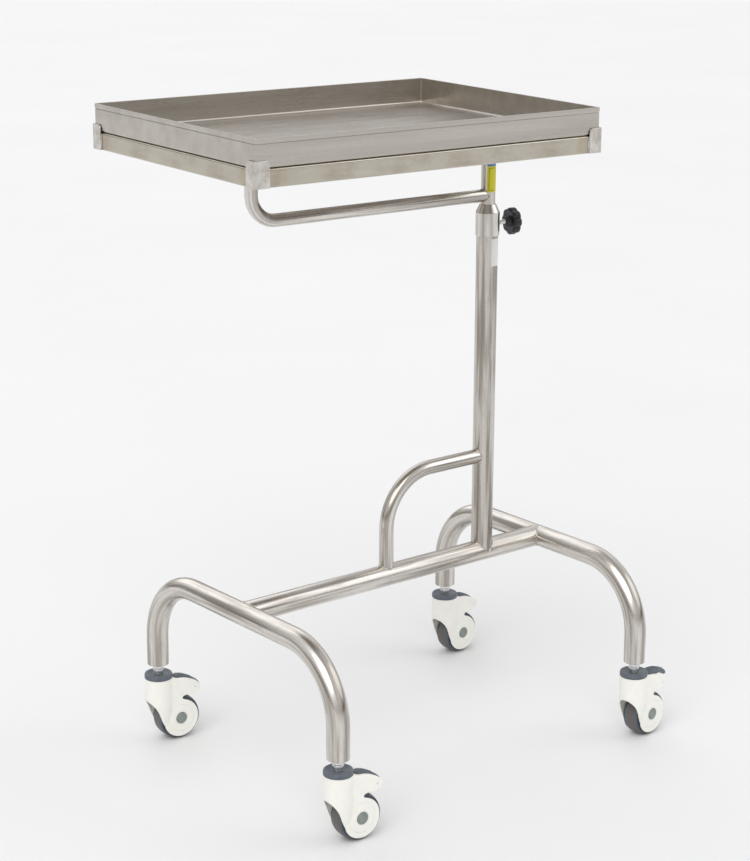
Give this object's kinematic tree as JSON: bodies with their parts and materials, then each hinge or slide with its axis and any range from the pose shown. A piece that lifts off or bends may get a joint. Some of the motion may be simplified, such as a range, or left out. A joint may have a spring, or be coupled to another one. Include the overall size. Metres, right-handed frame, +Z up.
{
  "type": "instrument cart",
  "caption": "Welded stainless tube cart with a height-adjustable, swivelling rectangular instrument tray on braked casters.",
  "frame": {"origin": "on the floor, below the middle of the overall box", "axes": "+Z up; +X along the base beam, from the tray's free end towards the column's end"},
  "size_m": [0.8746, 0.5678, 1.1372],
  "materials": {
    "satin_steel": "semi-polished drawn tube with longitudinal streaks",
    "brushed_sheet": "satin pressed sheet",
    "polished_rail": "polished, faint straw heat tint by the welds",
    "zinc": "bright zinc plate",
    "brass": "turned",
    "white_nylon": "smooth moulded, off-white",
    "grey_plastic": "fine moulded texture, blue-grey",
    "wheel_core": "moulded, dark grey",
    "grey_tread": "soft grey tread",
    "black_plastic": "moulded, black",
    "guide_nylon": "turned nylon"
  },
  "bodies": {
    "base": {"leg_left": "satin_steel", "leg_right": "satin_steel", "base_beam": "satin_steel", "column": "satin_steel", "brace": "satin_steel", "collar": "satin_steel", "caster_back_left_socket": "zinc", "caster_back_left_stem": "zinc", "caster_front_left_socket": "zinc", "caster_front_left_stem": "zinc", "caster_back_right_socket": "zinc", "caster_back_right_stem": "zinc", "caster_front_right_socket": "zinc", "caster_front_right_stem": "zinc"},
    "post_carrier": {"post_foot_bush": "guide_nylon"},
    "tray_support": {"inner_post": "satin_steel", "support_arm": "satin_steel", "arm_cross_bar": "polished_rail", "post_cross_bar": "polished_rail", "tray_rail_front": "polished_rail", "tray_rail_back": "polished_rail", "tray_rail_left": "polished_rail", "tray_rail_right": "polished_rail", "corner_clip_front_left": "polished_rail", "corner_clip_front_right": "polished_rail", "corner_clip_back_right": "polished_rail", "corner_clip_back_left": "polished_rail"},
    "tray": {"tray": "brushed_sheet"},
    "clamp_pad": {"clamp_pad": "brass"},
    "clamp_knob": {"clamp_screw": "zinc", "clamp_knob": "black_plastic"},
    "caster_back_left": {"caster_back_left_ring": "grey_plastic", "caster_back_left_yoke": "white_nylon", "caster_back_left_pin": "zinc", "caster_back_left_axle": "grey_plastic"},
    "wheel_back_left": {"caster_back_left_wheel": "wheel_core", "caster_back_left_tyre": "grey_tread"},
    "pedal_back_left": {"caster_back_left_pedal": "grey_plastic"},
    "caster_front_left": {"caster_front_left_ring": "grey_plastic", "caster_front_left_yoke": "white_nylon", "caster_front_left_pin": "zinc", "caster_front_left_axle": "grey_plastic"},
    "wheel_front_left": {"caster_front_left_wheel": "wheel_core", "caster_front_left_tyre": "grey_tread"},
    "pedal_front_left": {"caster_front_left_pedal": "grey_plastic"},
    "caster_back_right": {"caster_back_right_ring": "grey_plastic", "caster_back_right_yoke": "white_nylon", "caster_back_right_pin": "zinc", "caster_back_right_axle": "grey_plastic"},
    "wheel_back_right": {"caster_back_right_wheel": "wheel_core", "caster_back_right_tyre": "grey_tread"},
    "pedal_back_right": {"caster_back_right_pedal": "grey_plastic"},
    "caster_front_right": {"caster_front_right_ring": "grey_plastic", "caster_front_right_yoke": "white_nylon", "caster_front_right_pin": "zinc", "caster_front_right_axle": "grey_plastic"},
    "wheel_front_right": {"caster_front_right_wheel": "wheel_core", "caster_front_right_tyre": "grey_tread"},
    "pedal_front_right": {"caster_front_right_pedal": "grey_plastic"}
  },
  "joints": [
    {"name": "height_slide", "type": "slide", "parent": "base", "child": "post_carrier", "axis": [0, 0, 1], "range_m": [0, 0.38]},
    {"name": "tray_swivel", "type": "hinge", "parent": "post_carrier", "child": "tray_support", "pos_m": [0.2083, -0.0004, 0.952], "axis": [0, 0, 1], "continuous": true},
    {"name": "tray_lift_off", "type": "slide", "parent": "tray_support", "child": "tray", "axis": [0, 0, 1], "range_m": [0, 0.15]},
    {"name": "clamp_feed", "type": "slide", "parent": "base", "child": "clamp_pad", "axis": [0.9848, -0.1736, 0], "range_m": [0, 0.0025]},
    {"name": "clamp_turn", "type": "hinge", "parent": "clamp_pad", "child": "clamp_knob", "pos_m": [0.2083, -0.0004, 0.9125], "axis": [0.9848, -0.1736, 0], "range_deg": [0, 722]},
    {"name": "swivel_back_left", "type": "hinge", "parent": "base", "child": "caster_back_left", "pos_m": [-0.3217, 0.2586, 0.122], "axis": [0, 0, 1], "continuous": true},
    {"name": "roll_back_left", "type": "hinge", "parent": "caster_back_left", "child": "wheel_back_left", "pos_m": [-0.2878, 0.25599, 0.04], "axis": [0.0767, 0.9971, 0], "continuous": true},
    {"name": "brake_back_left", "type": "hinge", "parent": "caster_back_left", "child": "pedal_back_left", "pos_m": [-0.28979, 0.25615, 0.112], "axis": [-0.0767, -0.9971, 0], "range_deg": [0, 18]},
    {"name": "swivel_front_left", "type": "hinge", "parent": "base", "child": "caster_front_left", "pos_m": [-0.3217, -0.2594, 0.122], "axis": [0, 0, 1], "continuous": true},
    {"name": "roll_front_left", "type": "hinge", "parent": "caster_front_left", "child": "wheel_front_left", "pos_m": [-0.28775, -0.26124, 0.04], "axis": [0.0541, 0.9985, 0], "continuous": true},
    {"name": "brake_front_left", "type": "hinge", "parent": "caster_front_left", "child": "pedal_front_left", "pos_m": [-0.28975, -0.26113, 0.112], "axis": [-0.0541, -0.9985, 0], "range_deg": [0, 18]},
    {"name": "swivel_back_right", "type": "hinge", "parent": "base", "child": "caster_back_right", "pos_m": [0.3463, 0.2586, 0.122], "axis": [0, 0, 1], "continuous": true},
    {"name": "roll_back_right", "type": "hinge", "parent": "caster_back_right", "child": "wheel_back_right", "pos_m": [0.38019, 0.26136, 0.04], "axis": [-0.0811, 0.9967, 0], "continuous": true},
    {"name": "brake_back_right", "type": "hinge", "parent": "caster_back_right", "child": "pedal_back_right", "pos_m": [0.3782, 0.26119, 0.112], "axis": [0.0811, -0.9967, 0], "range_deg": [0, 18]},
    {"name": "swivel_front_right", "type": "hinge", "parent": "base", "child": "caster_front_right", "pos_m": [0.3463, -0.2594, 0.122], "axis": [0, 0, 1], "continuous": true},
    {"name": "roll_front_right", "type": "hinge", "parent": "caster_front_right", "child": "wheel_front_right", "pos_m": [0.38001, -0.25499, 0.04], "axis": [-0.1297, 0.9916, 0], "continuous": true},
    {"name": "brake_front_right", "type": "hinge", "parent": "caster_front_right", "child": "pedal_front_right", "pos_m": [0.37803, -0.25525, 0.112], "axis": [0.1297, -0.9916, 0], "range_deg": [-18, 0]}
  ],
  "couplings": [
    {"joint": "clamp_turn", "follows": "clamp_feed", "rad_per_m": 5026.5}
  ]
}
